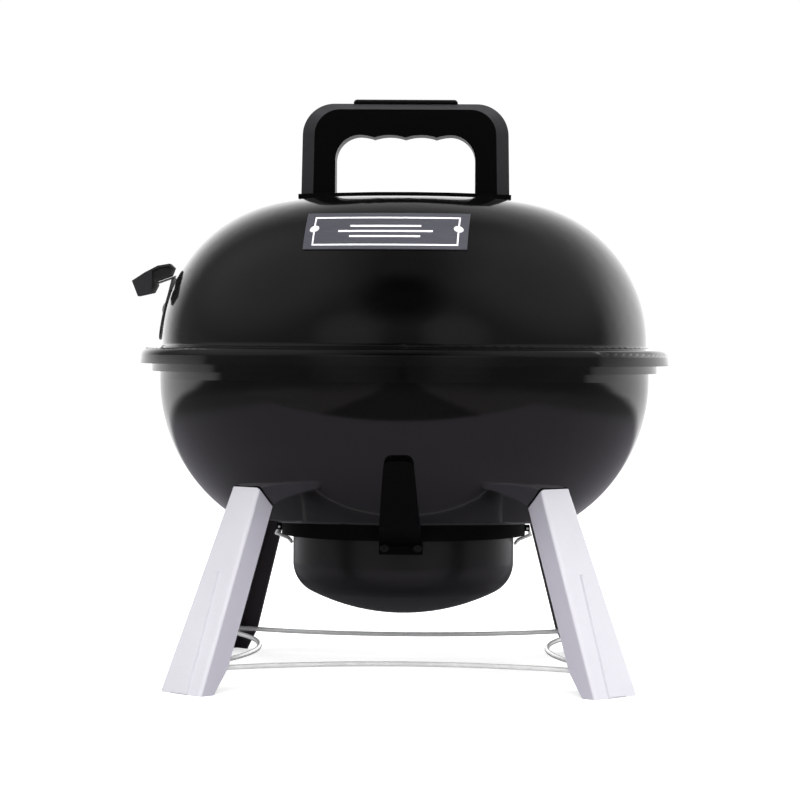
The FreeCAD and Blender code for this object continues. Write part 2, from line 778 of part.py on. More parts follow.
def make_ash_collar():
    """The ring under the ash hole, with the ears that the wire clips turn in."""
    top = "BowlBottomHeight"
    ring = turned("collar_ring", [
        ("CollarFlange", top + " - SheetWall"),
        ("CollarRadius - SheetWall", top + " - SheetWall"),
        ("CollarRadius - SheetWall", top + " - CollarHeight"),
        ("CollarRadius", top + " - CollarHeight"),
        ("CollarRadius", top),
        ("CollarFlange", top),
    ])
    pieces = [ring]
    drills = []
    for turn in (0, 180):
        side = turned_about_z(turn)
        for y in ("-ClipSpread - 2*EarWall", "ClipSpread + EarWall"):
            ear = doc.addObject("Part::Box", "clip_ear")
            bind(ear, "Length", "ClipEar")
            bind(ear, "Width", "EarWall")
            bind(ear, "Height", "ClipEar")
            spot = (number("CollarRadius") - number("EarWall") / 2, number(y), number("ClipHeight - ClipEar/2"))
            ear.Placement = shifted(side, *spot)
            pieces.append(ear)
        bore = cylinder("clip_bore", "ClipWire + Contact", "4*ClipSpread",
                        side * facing((number("ClipRadius"), -2 * number("ClipSpread"), number("ClipHeight")),
                                      (0, 1, 0)))
        drills.append(bore)
    blank = welded("collar_blank", pieces)
    doc.recompute()
    return drilled("ash_collar", blank, drills)


def bent_wire(label, points, radius, frame=FreeCAD.Placement()):
    """A bent wire: straight runs with round corners."""
    pieces = []
    for start, end in zip(points, points[1:]):
        run = [b - a for a, b in zip(start, end)]
        length = math.sqrt(sum(d * d for d in run))
        pieces.append(cylinder(label + "_run", radius, str(length), frame * facing(start, run)))
    for point in points[1:-1]:
        corner = doc.addObject("Part::Sphere", label + "_corner")
        bind(corner, "Radius", radius)
        corner.Placement = shifted(frame, *point)
        pieces.append(corner)
    return welded(label, pieces)


def make_ash_clips():
    """The two spring wire clips that grip the ash bowl's wall."""
    spread = number("ClipSpread")
    pivot = (number("ClipRadius"), number("ClipHeight"))
    half = [(pivot[0], spread + 2.6, pivot[1]), (pivot[0], spread, pivot[1]),
            (pivot[0] + 2.4, spread, pivot[1] - 4.8), (number("AshRadius") + 3.8, spread, pivot[1] - 8.4),
            (number("AshRadius") + number("ClipWire") + number("Gap"), spread, pivot[1] - 11.2)]
    points = half + [(x, -y, z) for x, y, z in reversed(half)]
    clips = []
    for label, turn in (("ash_clip_right", 0), ("ash_clip_left", 180)):
        clips.append(bent_wire(label, points, "ClipWire", turned_about_z(turn)))
    return clips


def make_grate_supports():
    """Three welded brackets that carry the cooking grate."""
    shelf = "CookHeight - CookRingWire - Gap"
    wall = "BowlArcCentre + BowlArcRadius - SheetWall - 0.5"
    brackets = []
    for turn in (90, 210, 330):
        body = new_body("grate_support")
        padded(body, "support", "XZ_Plane", [[
            (wall, shelf + " + SupportHeight"),
            (wall + " - SupportWall", shelf + " + SupportHeight"),
            (wall + " - SupportWall", shelf),
            (wall + " - SupportReach", shelf),
            (wall + " - SupportReach", shelf + " - SupportWall"),
            (wall, shelf + " - SupportWall"),
        ]], "SupportWidth", midplane=True)
        body.Placement = turned_about_z(turn)
        brackets.append(body)
    return grouped("grate_supports", brackets)


# ---------------------------------------------------------------- ash bowl

def make_ash_bowl():
    """The deep-drawn ash bowl with an inward lip."""
    def corner(inset):
        radius = "(AshKnuckleRadius - %s)" % inset
        r = "(AshRadius - AshKnuckleRadius + %s*cos(AshKnuckleAngle))" % radius
        z = "(AshKnuckleHeight - %s*sin(AshKnuckleAngle))" % radius
        return r, z

    floor_arc = "(%s/cos(AshKnuckleAngle))" % corner("0")[0]
    floor = "(%s - %s*(1 - sin(AshKnuckleAngle)))" % (corner("0")[1], floor_arc)
    outer, inner = corner("0"), corner("AshWall")
    shell = turned("ash_shell", [
        ("0", floor),
        (outer[0], outer[1], floor_arc, "ccw"),
        ("AshRadius", "AshKnuckleHeight", "AshKnuckleRadius", "ccw"),
        ("AshRadius", "AshTop"),
        ("AshRadius - AshLip", "AshTop"),
        ("AshRadius - AshLip", "AshTop - AshWall"),
        ("AshRadius - AshWall", "AshTop - AshWall"),
        ("AshRadius - AshWall", "AshKnuckleHeight"),
        (inner[0], inner[1], "AshKnuckleRadius - AshWall", "cw"),
        ("0", floor + " + AshWall", floor_arc + " - AshWall", "cw"),
    ])
    drills = [cylinder("ash_screw_hole", "RivetRadius + Contact", "14", shifted(frame, 0, 0, -7))
              for frame in tongue_screw_frames()]
    return drilled("ash_bowl", shell, drills)


def tongue_screw_frames():
    """Where the two screws of the front grip stand: heads outward, towards the front."""
    frames = []
    for side in (-1, 1):
        x = side * number("TongueScrewSpread")
        spot = (x, -number("AshRadius") - number("TongueWall") - 2 * number("Contact"), number("TongueScrewHeight"))
        frames.append(facing(spot, (0, -1, 0)))
    return frames


def make_ash_grip():
    """The grip of the ash bowl: a tongue that curves up in front of the bowl."""
    body = new_body("grip_tongue")
    inner, outer = "TongueGap", "(TongueGap + TongueWall)"
    face = "AshRadius + 2*Contact"
    padded(body, "tongue", "XZ_Plane", [[
        (on_bowl("TongueTopHeight", inner), "TongueTopHeight"),
        (on_bowl("TongueTurnHeight", inner), "TongueTurnHeight", "BowlArcRadius + " + inner, "cw"),
        (face + " + TongueWall + 1.4", "AshTop - 2.2"),
        (face, "AshTop - 2.2"),
        (face, "TongueScrewHeight - 5"),
        (face + " + TongueWall", "TongueScrewHeight - 5"),
        (face + " + TongueWall", "TongueScrewHeight + 1"),
        (on_bowl("TongueTurnHeight - 3.4", outer), "TongueTurnHeight - 3.4"),
        (on_bowl("TongueTopHeight + 1", outer), "TongueTopHeight + 1", "BowlArcRadius + " + outer, "ccw"),
    ]], "TongueWidth", midplane=True)
    trims = []
    for side in ("", "-"):
        turn = "cw" if side == "" else "ccw"
        trims.append([
            (side + "0.5*TongueWidth", "TongueScrewHeight + 1"),
            (side + "TongueWidth", "TongueScrewHeight + 1"),
            (side + "TongueWidth", "TongueTopHeight + 4"),
            (side + "(0.5*TongueTopWidth - TongueCorner)", "TongueTopHeight + 4"),
            (side + "(0.5*TongueTopWidth - TongueCorner)", "TongueTopHeight + 1"),
            (side + "0.5*TongueTopWidth", "TongueTopHeight + 1 - TongueCorner", "TongueCorner", turn),
        ])
    pocketed(body, "tongue_sides", "YZ_Plane", trims, "2*FlangeRadius", flip=True)
    body.Placement = turned_about_z(-90)
    drills = [cylinder("tongue_screw_hole", "RivetRadius + Contact", "14", shifted(frame, 0, 0, -7))
              for frame in tongue_screw_frames()]
    drills += [cylinder("tongue_screw_seat", "RivetHead + 3*Contact", "8", frame) for frame in tongue_screw_frames()]
    grip = drilled("ash_bowl_grip", body, drills)
    screws = [screw("grip_screw", "TongueWall + 3", frame, "RivetRadius", "RivetHead", "1.3*RivetHeadHeight")
              for frame in tongue_screw_frames()]
    return [grip, grouped("grip_screws", screws)]


# ---------------------------------------------------------------- legs and brace

LEG_TURNS = {"leg_front_left": 225, "leg_front_right": 315, "leg_rear_left": 135, "leg_rear_right": 45}


def leg_frame(turn):
    """A leg's own frame: +Z up along the leg, +X out of its face, the origin at the foot of the face."""
    lean = FreeCAD.Rotation(FreeCAD.Vector(0, 1, 0), -number("LegLean"))
    return turned_about_z(turn) * FreeCAD.Placement(FreeCAD.Vector(number("FootRadius"), 0, 0), lean)


def leg_bolt_frame(turn):
    """The leg bolt's place, at the upper face of the leg's tab, with +Z into the bowl."""
    inset = number("LegBoltInset")
    slope = math.radians(number("LegTopSlope"))
    height = number("LegLength") - inset * math.tan(slope) - 2 * number("Contact")
    return leg_frame(turn) * facing((-inset, 0, height), (-math.sin(slope), 0, math.cos(slope)))


def in_leg(radius, height):
    """(x, z) in a leg's frame of a point at a radius and height of the grill."""
    out = "((%s) - FootRadius)" % radius
    return ("%s*cos(LegLean) + (%s)*sin(LegLean)" % (out, height),
            "(%s)*cos(LegLean) - %s*sin(LegLean)" % (height, out))


def runs_along_face(start, end):
    """True for the two long edges of a leg's face."""
    on_face = max(abs(start.x), abs(end.x)) < number("Contact")
    return on_face and abs(start.z - end.z) > number("LegLength") / 2


def make_leg(label, turn):
    """One pressed channel leg with a raised rib, a bolted top tab and a shelf for the brace."""
    body = new_body(label + "_channel")
    padded(body, "leg_side", "XZ_Plane", [[
        ("0", "0"),
        ("0", "LegLength"),
        ("-LegTopDepth", "LegLength - LegTopDepth*tan(LegTopSlope)"),
        ("-LegKneeDepth", "LegKneeHeight"),
        ("-LegFootDepth", "LegFootDepth*tan(LegLean)"),
    ]], "LegFootWidth", midplane=True)
    wedges = []
    for sign in ("", "-"):
        wedges.append([
            (sign + "0.5*LegFootWidth", "0"),
            (sign + "LegFootWidth", "0"),
            (sign + "LegFootWidth", "LegLength + 1"),
            (sign + "0.5*LegTopWidth", "LegLength + 1"),
        ])
    trimmed = pocketed(body, "leg_taper", "YZ_Plane", wedges, "2*LegKneeDepth", offset="1")
    rounded(body, "leg_edges", trimmed, runs_along_face, "LegEdge")
    foot, top = "(0.5*LegFootWidth - LegWall)", "(0.5*LegTopWidth - LegWall)"
    pocketed(body, "leg_hollow", "YZ_Plane", [[
        ("-" + foot, "-1"),
        (foot, "-1"),
        (top, "LegLength + 1"),
        ("-" + top, "LegLength + 1"),
    ]], "2*LegKneeDepth", offset="-LegWall")
    rib = padded(body, "leg_rib", "YZ_Plane", [[
        ("-0.5*RibFootWidth", "0"),
        ("0.5*RibFootWidth", "0"),
        ("0.5*RibTipWidth", "RibLength"),
        ("-0.5*RibTipWidth", "RibLength"),
    ]], "RibHeight")
    bind(rib, "TaperAngle", "-RibSlope")
    padded(body, "leg_tab", "XZ_Plane", [[
        ("-0.5*LegWall", "LegLength - 0.5*LegWall*tan(LegTopSlope) - 2*Contact"),
        ("-LegTabDepth", "LegLength - LegTabDepth*tan(LegTopSlope) - 2*Contact"),
        ("-LegTabDepth", "LegLength - LegTabDepth*tan(LegTopSlope) - 1.5*LegWall"),
        ("-0.5*LegWall", "LegLength - 0.5*LegWall*tan(LegTopSlope) - 1.5*LegWall"),
    ]], "LegTopWidth - LegWall", midplane=True)
    shelf_top = "BraceHeight - BraceWire"
    padded(body, "leg_shelf", "XZ_Plane", [[
        in_leg("FootRadius - (%s)*tan(LegLean) - LegWall" % shelf_top, shelf_top),
        in_leg("BraceRadius + 2", shelf_top),
        in_leg("BraceRadius + 2", shelf_top + " - LegWall"),
        in_leg("FootRadius - (%s)*tan(LegLean) - LegWall" % shelf_top, shelf_top + " - LegWall"),
    ]], "LegFootWidth - 3*LegWall", midplane=True)
    body.Placement = leg_frame(turn)
    drill = cylinder("leg_bolt_drill", "BoltRadius + 2*Contact", "16", shifted(leg_bolt_frame(turn), 0, 0, -8))
    return drilled(label, body, [drill])


def make_leg_fasteners():
    """A bolt from under each leg's tab and a cap nut inside the bowl."""
    bolts, nuts = [], []
    down = FreeCAD.Placement(FreeCAD.Vector(), FreeCAD.Rotation(FreeCAD.Vector(1, 0, 0), 180))
    for turn in LEG_TURNS.values():
        frame = leg_bolt_frame(turn)
        under_tab = shifted(frame, 0, 0, -1.5 * number("LegWall"))
        bolts.append(screw("leg_bolt", "7.2", under_tab * down))
        nuts.append(hex_nut("leg_nut", shifted(frame, 0, 0, number("NutLift"))))
    return [grouped("leg_bolts", bolts), grouped("leg_nuts", nuts)]


def make_brace():
    """The wire ring between the legs: four bows joined by tight turns inside the legs."""
    near = "((BraceRadius - BraceSpread)*cos(45))"
    far = "((BraceRadius + BraceSpread)*cos(45))"
    bow = "(0.5*(%s^2 + BraceBow^2)/BraceBow)" % near
    bend = "(BraceSpread/cos(45 deg - asin(%s/%s)))" % (near, bow)
    middle = "(%s - BraceBow)" % far
    path = [("Contact", middle)]
    signs = (("", ""), ("", "-"), ("-", "-"), ("-", ""))
    for index, (x, y) in enumerate(signs):
        first = (x + near, y + far) if index % 2 == 0 else (x + far, y + near)
        second = (x + far, y + near) if index % 2 == 0 else (x + near, y + far)
        path.append(first + (bow, "ccw"))
        path.append(second + (bend, "cw"))
    path.append(("-Contact", middle, bow, "ccw"))
    body = new_body("brace_ring")
    spine = new_sketch(body, "brace_path", "XY_Plane", [path], closed=False)
    section = new_sketch(body, "brace_section", "YZ_Plane", [], offset="Contact")
    draw_circles(section, [(middle, "0", "BraceWire")])
    pipe = body.newObject("PartDesign::AdditivePipe", "brace_pipe")
    pipe.Profile = section
    pipe.Spine = spine
    body.Placement = FreeCAD.Placement(FreeCAD.Vector(0, 0, number("BraceHeight")), FreeCAD.Rotation())
    return body


# ---------------------------------------------------------------- grates

def make_grate(label, ring, wire, height, rod, pitch, braces):
    """A welded wire grate: a ring, rods along X on top of it and cross bars under them."""
    hoop = doc.addObject("Part::Torus", label + "_ring")
    bind(hoop, "Radius1", ring)
    bind(hoop, "Radius2", wire)
    hoop.Placement = FreeCAD.Placement(FreeCAD.Vector(0, 0, number(height)), FreeCAD.Rotation())
    rod_height = number(height) + number(wire) + 0.6 * number(rod)
    bar_height = rod_height - 1.8 * number(rod)
    pieces = [hoop]
    half_count = int(0.97 * number(ring) / number(pitch))
    for step in range(-half_count, half_count + 1):
        half = "sqrt(%s^2 - (%d*%s)^2)" % (ring, step, pitch)
        spot = (-number(half), step * number(pitch), rod_height)
        pieces.append(cylinder(label + "_rod", rod, "2*" + half, facing(spot, (1, 0, 0))))
    for side in (-1, 1):
        half = "sqrt(%s^2 - (%s)^2)" % (ring, braces)
        spot = (side * number(braces), -number(half), bar_height)
        pieces.append(cylinder(label + "_bar", rod, "2*" + half, facing(spot, (0, 1, 0))))
    return welded(label, pieces)


def build():
    """Every sub-part that is written out."""
    made = [make_lid(), make_handle()]
    made += make_handle_trim()
    made += make_name_plate()
    made += make_damper()
    made += [make_bowl(), make_ash_collar(), make_grate_supports()]
    made += make_ash_clips()
    made.append(make_ash_bowl())
    made += make_ash_grip()
    made += [make_leg(label, turn) for label, turn in LEG_TURNS.items()]
    made += make_leg_fasteners()
    made.append(make_brace())
    made.append(make_grate("cooking_grate", "CookRadius", "CookRingWire", "CookHeight",
                           "CookRodWire", "CookPitch", "CookRadius/3"))
    made.append(make_grate("charcoal_grate", "CoalRadius", "CoalRingWire", "CoalHeight",
                           "CoalRodWire", "CoalPitch", "CoalRadius/2.6"))
    return made


def write_parts(made):
    """Checks every object, then writes each sub-part to a file of its own name."""
    doc.recompute()
    for thing in doc.Objects:
        if "Invalid" in thing.State or "Error" in thing.State:
            raise RuntimeError("%s failed: %s" % (thing.Label, thing.State))
    for part in made:
        if part.Shape.isNull() or not part.Shape.isValid():
            raise RuntimeError(part.Label + " has no valid shape")
    os.makedirs("parts", exist_ok=True)
    for part in made:
        part.Shape.exportStep("parts/%s.step" % part.Label)
        print("%-20s %2d solids %9.0f mm3" % (part.Label, len(part.Shape.Solids), part.Shape.Volume))


write_parts(build())
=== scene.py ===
"""Portable tabletop grill: black enamelled kettle, carrying handle, hanging ash bowl, silver legs."""
import json
import math

import bpy
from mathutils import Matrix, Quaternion, Vector

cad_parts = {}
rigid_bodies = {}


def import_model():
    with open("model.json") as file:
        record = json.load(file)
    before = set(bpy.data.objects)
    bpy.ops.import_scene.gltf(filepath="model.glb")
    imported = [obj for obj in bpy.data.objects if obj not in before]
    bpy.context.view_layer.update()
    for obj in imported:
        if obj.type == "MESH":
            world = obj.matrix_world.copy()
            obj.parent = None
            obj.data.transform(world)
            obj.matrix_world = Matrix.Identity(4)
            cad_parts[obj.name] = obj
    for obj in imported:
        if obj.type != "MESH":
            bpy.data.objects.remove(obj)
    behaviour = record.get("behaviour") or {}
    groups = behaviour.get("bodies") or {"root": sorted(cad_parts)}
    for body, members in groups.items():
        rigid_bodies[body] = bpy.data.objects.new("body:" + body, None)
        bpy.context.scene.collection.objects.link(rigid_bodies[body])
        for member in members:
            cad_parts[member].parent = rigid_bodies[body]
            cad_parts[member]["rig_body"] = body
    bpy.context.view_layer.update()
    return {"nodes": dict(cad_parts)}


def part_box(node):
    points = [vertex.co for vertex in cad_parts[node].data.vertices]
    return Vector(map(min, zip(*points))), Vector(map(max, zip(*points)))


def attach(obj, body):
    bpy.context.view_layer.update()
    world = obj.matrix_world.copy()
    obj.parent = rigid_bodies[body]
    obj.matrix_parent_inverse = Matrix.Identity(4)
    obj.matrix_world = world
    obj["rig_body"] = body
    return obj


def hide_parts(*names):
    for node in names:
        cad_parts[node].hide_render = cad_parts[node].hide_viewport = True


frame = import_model()
NODES = frame["nodes"]
MM = 0.001

LEGS = ("leg_front_left", "leg_front_right", "leg_rear_left", "leg_rear_right")
HEAT_DULLED_DEPTH = 4 * MM
LEVER_MIDDLE = -0.19
SHIELD_DROP = 1.8 * MM
SKIRT_WIDENING = 1.6
SKIRT_THICKENING = 1.3 * MM
SCOOP_RIM = 1.6 * MM
SCOOP_DEPTH = 3 * MM
SCOOP_START = 0.42
CAMERA_REACH = 2.131
CAMERA_HEIGHT = 0.237


# ---------------------------------------------------------------- shader nodes

class Wire:
    """One output of a shader node, which plain arithmetic works on."""

    def __init__(self, nodes, socket):
        self.nodes = nodes
        self.socket = socket

    def maths(self, operation, first, second):
        return self.nodes.node("Math", {"operation": operation}, {0: first, 1: second})

    def __add__(self, other):
        return self.maths("ADD", self, other)

    def __radd__(self, other):
        return self.maths("ADD", other, self)

    def __sub__(self, other):
        return self.maths("SUBTRACT", self, other)

    def __rsub__(self, other):
        return self.maths("SUBTRACT", other, self)

    def __mul__(self, other):
        return self.maths("MULTIPLY", self, other)

    def __rmul__(self, other):
        return self.maths("MULTIPLY", other, self)

    def __abs__(self):
        return self.nodes.node("Math", {"operation": "ABSOLUTE"}, {0: self})


class Nodes:
    """A node tree and the one method that adds a node to it."""

    def __init__(self, tree):
        self.tree = tree

    def node(self, kind, settings=None, sockets=None, output=0):
        made = self.tree.nodes.new("ShaderNode" + kind)
        for name, value in (settings or {}).items():
            setattr(made, name, value)
        for name, value in (sockets or {}).items():
            if isinstance(value, Wire):
                self.tree.links.new(value.socket, made.inputs[name])
            else:
                made.inputs[name].default_value = value
        return Wire(self, made.outputs[output])

    def rise(self, value, low, high):
        """0 below low, 1 above high, and a smooth step between."""
        return self.node("MapRange", {"interpolation_type": "SMOOTHSTEP"}, {0: value, 1: low, 2: high})

    def mixed(self, factor, first, second):
        """A colour between two colours."""
        colours = {0: factor, 6: first, 7: second}
        return self.node("Mix", {"data_type": "RGBA"}, colours, output=2)


class Finish(Nodes):
    """A procedural surface finish on object coordinates."""

    def __init__(self, name, constants=None):
        self.material = bpy.data.materials.new(name)
        self.material.use_nodes = True
        super().__init__(self.material.node_tree)
        self.shader = self.tree.nodes["Principled BSDF"]
        self.place = self.node("TexCoord", output="Object")
        for socket, value in (constants or {}).items():
            self.shader.inputs[socket].default_value = value

    def feed(self, socket, wire):
        self.tree.links.new(wire.socket, self.shader.inputs[socket])

    def noise(self, size, detail=2.0, place=None):
        """Noise between 0 and 1, its lumps about size metres across."""
        return self.node("TexNoise", {}, {"Vector": place or self.place, "Scale": 1 / size, "Detail": detail})

    def axis(self, name):
        return self.node("SeparateXYZ", {}, {0: self.place}, output=name)

    def facing(self, name):
        """How far the surface faces along an axis of the object, from -1 to 1."""
        return self.node("SeparateXYZ", {}, {0: self.node("TexCoord", output="Normal")}, output=name)

    def stretched(self, x, y, z):
        """Object coordinates multiplied along each axis."""
        return self.node("VectorMath", {"operation": "MULTIPLY"}, {0: self.place, 1: (x, y, z)})

    def bumped(self, height, depth, under=None):
        """A bump whose height of 0 to 1 stands for depth metres."""
        sockets = {"Height": height, "Distance": depth, "Strength": 1.0}
        if under:
            sockets["Normal"] = under
        return self.node("Bump", {}, sockets)


def grey(value, tint=(1, 1, 1)):
    return tuple(value * part for part in tint) + (1,)


def put_on(finish, *names):
    """Gives a finish to CAD nodes or new pieces through their material slots."""
    for name in names:
        holder = NODES.get(name) or bpy.data.objects[name]
        if not holder.material_slots:
            holder.data.materials.append(None)
        for place in holder.material_slots:
            place.material = finish.material


# ---------------------------------------------------------------- finishes

COOL = (1.0, 0.99, 1.06)
WARM = (1.06, 0.98, 1.0)


def enamel(name, tone, gloss, peel_depth, dulled_above=1.0):
    """Fired black enamel: deep gloss, faint ripple and pinholes, dulled by heat above a height."""
    finish = Finish(name, {"IOR": 1.5, "Specular IOR Level": 0.5, "Specular Tint": (1, 0.95, 0.97, 1)})
    swell = finish.noise(0.045, 1)
    peel = finish.noise(0.0022, 1)
    cloud = finish.noise(0.03, 4)
    pinholes = finish.rise(finish.noise(0.0011, 1), 0.74, 0.8)
    finish.feed("Base Color", finish.mixed(cloud, grey(tone, WARM), grey(tone * 1.5, COOL)))
    dulled = finish.rise(finish.axis("Z"), dulled_above, dulled_above + 5 * MM)
    finish.feed("Roughness", gloss + 0.045 * cloud + 0.25 * pinholes + 0.42 * dulled)
    waves = finish.bumped(swell, 0.00012)
    rippled = finish.bumped(peel, peel_depth, waves)
    finish.feed("Normal", finish.bumped(pinholes, -0.00001, rippled))
    return finish


def moulded(name, tone, rough, grain, depth, lit_edge_tone, sheen=0.2, shine=1.0, middle=0.0, tint=COOL):
    """Moulded plastic or rubber: fine grain, faint flow marks, painted sheen on edges facing up or outward, and
    a painted highlight on their upper corners.
    """
    finish = Finish(name, {"IOR": 1.47, "Specular IOR Level": sheen})
    stipple = finish.noise(grain, 3)
    flow = finish.noise(0.012, 4, finish.stretched(0.4, 1, 1))
    face = finish.mixed(flow, grey(tone * 0.8, tint), grey(tone * 1.25, tint))
    across, up = finish.facing("X"), finish.facing("Z")
    side = finish.node("Math", {"operation": "SIGN"}, {0: finish.axis("X") - middle})
    edge_on = 1 - finish.rise(abs(finish.facing("Y")), 0.6, 0.98)
    # Edges facing up or outward get a lighter colour: painted sheen, with the grain stippled through it.
    outward = finish.rise(across * side + up, 0.1, 0.75) * edge_on
    # Edges facing both sideways and up get a brighter colour still: a painted highlight.
    corner = finish.rise(abs(across) * up, 0.22, 0.46) * outward
    lit_edge_colour = finish.mixed(stipple, grey(lit_edge_tone * 0.75, tint), grey(lit_edge_tone * 1.2, tint))
    sheen_and_highlight = finish.mixed(corner, lit_edge_colour, grey(lit_edge_tone * shine, tint))
    finish.feed("Base Color", finish.mixed(outward, face, sheen_and_highlight))
    finish.feed("Roughness", rough + 0.12 * flow + 0.1 * stipple)
    finish.feed("Normal", finish.bumped(stipple, depth))
    return finish


def silver_paint(name):
    """Sprayed silver paint: fine metal flake under a thin clear skin, with painted shade: near-black and not
    metallic on the hollow faces of the channel, and greyer on faces turned away from the outward direction.
    """
    finish = Finish(name, {"IOR": 1.5, "Coat Roughness": 0.22})
    flake = finish.noise(0.0007, 2)
    peel = finish.noise(0.0035, 2)
    cloud = finish.noise(0.06, 3)
    base = finish.mixed(flake, grey(0.76, COOL), grey(0.92, COOL))
    paint = finish.mixed(finish.rise(cloud, 0.35, 0.8), base, grey(0.82, (1, 0.98, 1.05)))
    place = finish.node("VectorMath", {"operation": "MULTIPLY"}, {0: finish.place, 1: (1, 1, 0)})
    outward = finish.node("VectorMath", {"operation": "NORMALIZE"}, {0: place})
    normal = finish.node("TexCoord", output="Normal")
    facing = finish.node("VectorMath", {"operation": "DOT_PRODUCT"}, {0: outward, 1: normal}, output="Value")
    lean = finish.node("VectorMath", {"operation": "MULTIPLY"},
                       {0: normal, 1: finish.node("VectorMath", {"operation": "SIGN"}, {0: finish.place})})
    offset = abs(finish.axis("Y")) - abs(finish.axis("X"))
    turned = finish.node("SeparateXYZ", {}, {0: lean}, "Y") - finish.node("SeparateXYZ", {}, {0: lean}, "X")
    flange = finish.rise(-1 * offset * turned, 0.002, 0.005)
    web = 1 - finish.rise(facing, -0.45, -0.2)
    # The channel's hollow faces are painted near-black and lose their metal: painted shade.
    channel_shade = finish.node("Math", {"operation": "MAXIMUM"}, {0: flange, 1: web})
    finish.feed("Metallic", (0.3 + 0.25 * flake) * (1 - channel_shade))
    # Faces turned away from the outward direction are painted greyer: painted shade.
    shaded = 1 - finish.rise(facing, 0.2, 0.65)
    paint = finish.mixed(shaded, paint, grey(0.6, (1, 0.97, 1.1)))
    finish.feed("Base Color", finish.mixed(channel_shade, paint, grey(0.05, (1.1, 0.95, 1.08))))
    finish.feed("Roughness", 0.34 + 0.12 * flake + 0.06 * cloud)
    finish.feed("Normal", finish.bumped(peel, 0.00002, finish.bumped(flake, 0.000008)))
    finish.shader.inputs["Coat Weight"].default_value = 0.25
    return finish


def plated(name, tone, rough, tint=(1, 1, 1), metal=1.0):
    """Bright plated steel with cloudy plating and fine drawing marks."""
    finish = Finish(name, {"Metallic": metal})
    cloud = finish.noise(0.006, 4)
    marks = finish.noise(0.0005, 2)
    finish.feed("Base Color", finish.mixed(cloud, grey(tone * 0.78, tint), grey(tone * 1.12, tint)))
    finish.feed("Roughness", rough + 0.12 * cloud + 0.06 * marks)
    finish.feed("Normal", finish.bumped(marks, 0.000006))
    return finish


def sprayed_black(name, tone, rough):
    """Heat-proof black paint on plain steel, slightly gritty and dusty."""
    finish = Finish(name, {"IOR": 1.45, "Specular IOR Level": 0.15})
    grit = finish.noise(0.0008, 3)
    dust = finish.noise(0.02, 5)
    finish.feed("Base Color", finish.mixed(dust, grey(tone * 0.7), grey(tone * 1.5, WARM)))
    finish.feed("Roughness", rough + 0.15 * dust)
    finish.feed("Normal", finish.bumped(grit, 0.00004))
    return finish


def plate_face(name):
    """Grey-blue plate with a pale border line a little inside its edge and three short pale bars."""
    finish = Finish(name, {"IOR": 1.5})
    low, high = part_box("name_plate")
    turn = math.radians(-4.3)
    across = finish.axis("X") * math.cos(turn) + finish.axis("Y") * math.sin(turn)
    height = finish.axis("Z")
    middle = (low.z + high.z) / 2
    half_high = (high.z - low.z) / 2 - 3.4 * MM
    half_wide = 49.2 * MM
    side = abs(across) - half_wide
    top = abs(height - middle) - half_high
    beyond = finish.node("Math", {"operation": "MAXIMUM"}, {0: side, 1: top})
    line = 1 - finish.rise(abs(beyond), 0.45 * MM, 0.6 * MM)
    bars = line
    for row, half in ((-1, 24), (0, 32), (1, 24)):
        lift = abs(height - (middle + row * 3.6 * MM)) - 0.55 * MM
        reach = abs(across) - half * MM
        bar = finish.node("Math", {"operation": "MAXIMUM"}, {0: lift, 1: reach})
        bars = finish.node("Math", {"operation": "MAXIMUM"}, {0: bars, 1: 1 - finish.rise(bar, 0, 0.15 * MM)})
    brushed = finish.noise(0.0006, 3, finish.stretched(0.06, 0.06, 1))
    face = finish.mixed(brushed, grey(0.075, (0.96, 0.97, 1.16)), grey(0.115, (0.96, 0.97, 1.16)))
    finish.feed("Base Color", finish.mixed(bars, face, grey(0.86, COOL)))
    finish.feed("Roughness", 0.36 + 0.12 * brushed)
    finish.feed("Metallic", 0.5 * (1 - bars))
    finish.feed("Normal", finish.bumped(bars, 0.00008, finish.bumped(brushed, 0.000006)))
    return finish


# ---------------------------------------------------------------- softened pieces

def pick_faces(piece, wanted):
    """Selects the faces that wanted(face) is true for, in edit mode."""
    bpy.ops.mesh.select_mode(type="FACE")
    bpy.ops.mesh.select_all(action="DESELECT")
    bpy.ops.object.mode_set(mode="OBJECT")
    for face in piece.data.polygons:
        face.select = wanted(face)
    bpy.ops.object.mode_set(mode="EDIT")


def scoop_lever(piece):
    """Hollows out both cheeks of the damper lever's grip, leaving a rim and a solid block at the tip."""
    low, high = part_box("damper_lever_grip")
    split = low.x + SCOOP_START * (high.x - low.x)
    bpy.ops.mesh.select_all(action="SELECT")
    bpy.ops.mesh.bisect(plane_co=(split, 0, 0), plane_no=(1, 0, 0))
    for side in (-1, 1):
        pick_faces(piece, lambda face: face.normal.y * side > 0.97
                   and face.center.x > split and face.area > 20 * MM ** 2)
        bpy.ops.mesh.inset(thickness=SCOOP_RIM, depth=0)
        bpy.ops.mesh.extrude_region_move(TRANSFORM_OT_translate={"value": (0, -side * SCOOP_DEPTH, 0)})


def deepen_shield(piece):
    """Widens and thickens the heat shield into a skirt that shows as a dark line over the crown."""
    bpy.ops.mesh.select_all(action="SELECT")
    bpy.ops.transform.resize(value=(1, SKIRT_WIDENING, 1), center_override=(0, 0, 0))
    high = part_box("handle_heat_shield")[1]
    bpy.ops.mesh.select_mode(type="VERT")
    bpy.ops.mesh.select_all(action="DESELECT")
    bpy.ops.object.mode_set(mode="OBJECT")
    for corner in piece.data.vertices:
        drop = SHIELD_DROP * (corner.co.x / high.x) ** 2
        corner.select = corner.co.z > high.z - MM - drop
    bpy.ops.object.mode_set(mode="EDIT")
    bpy.ops.transform.translate(value=(0, 0, SKIRT_THICKENING))


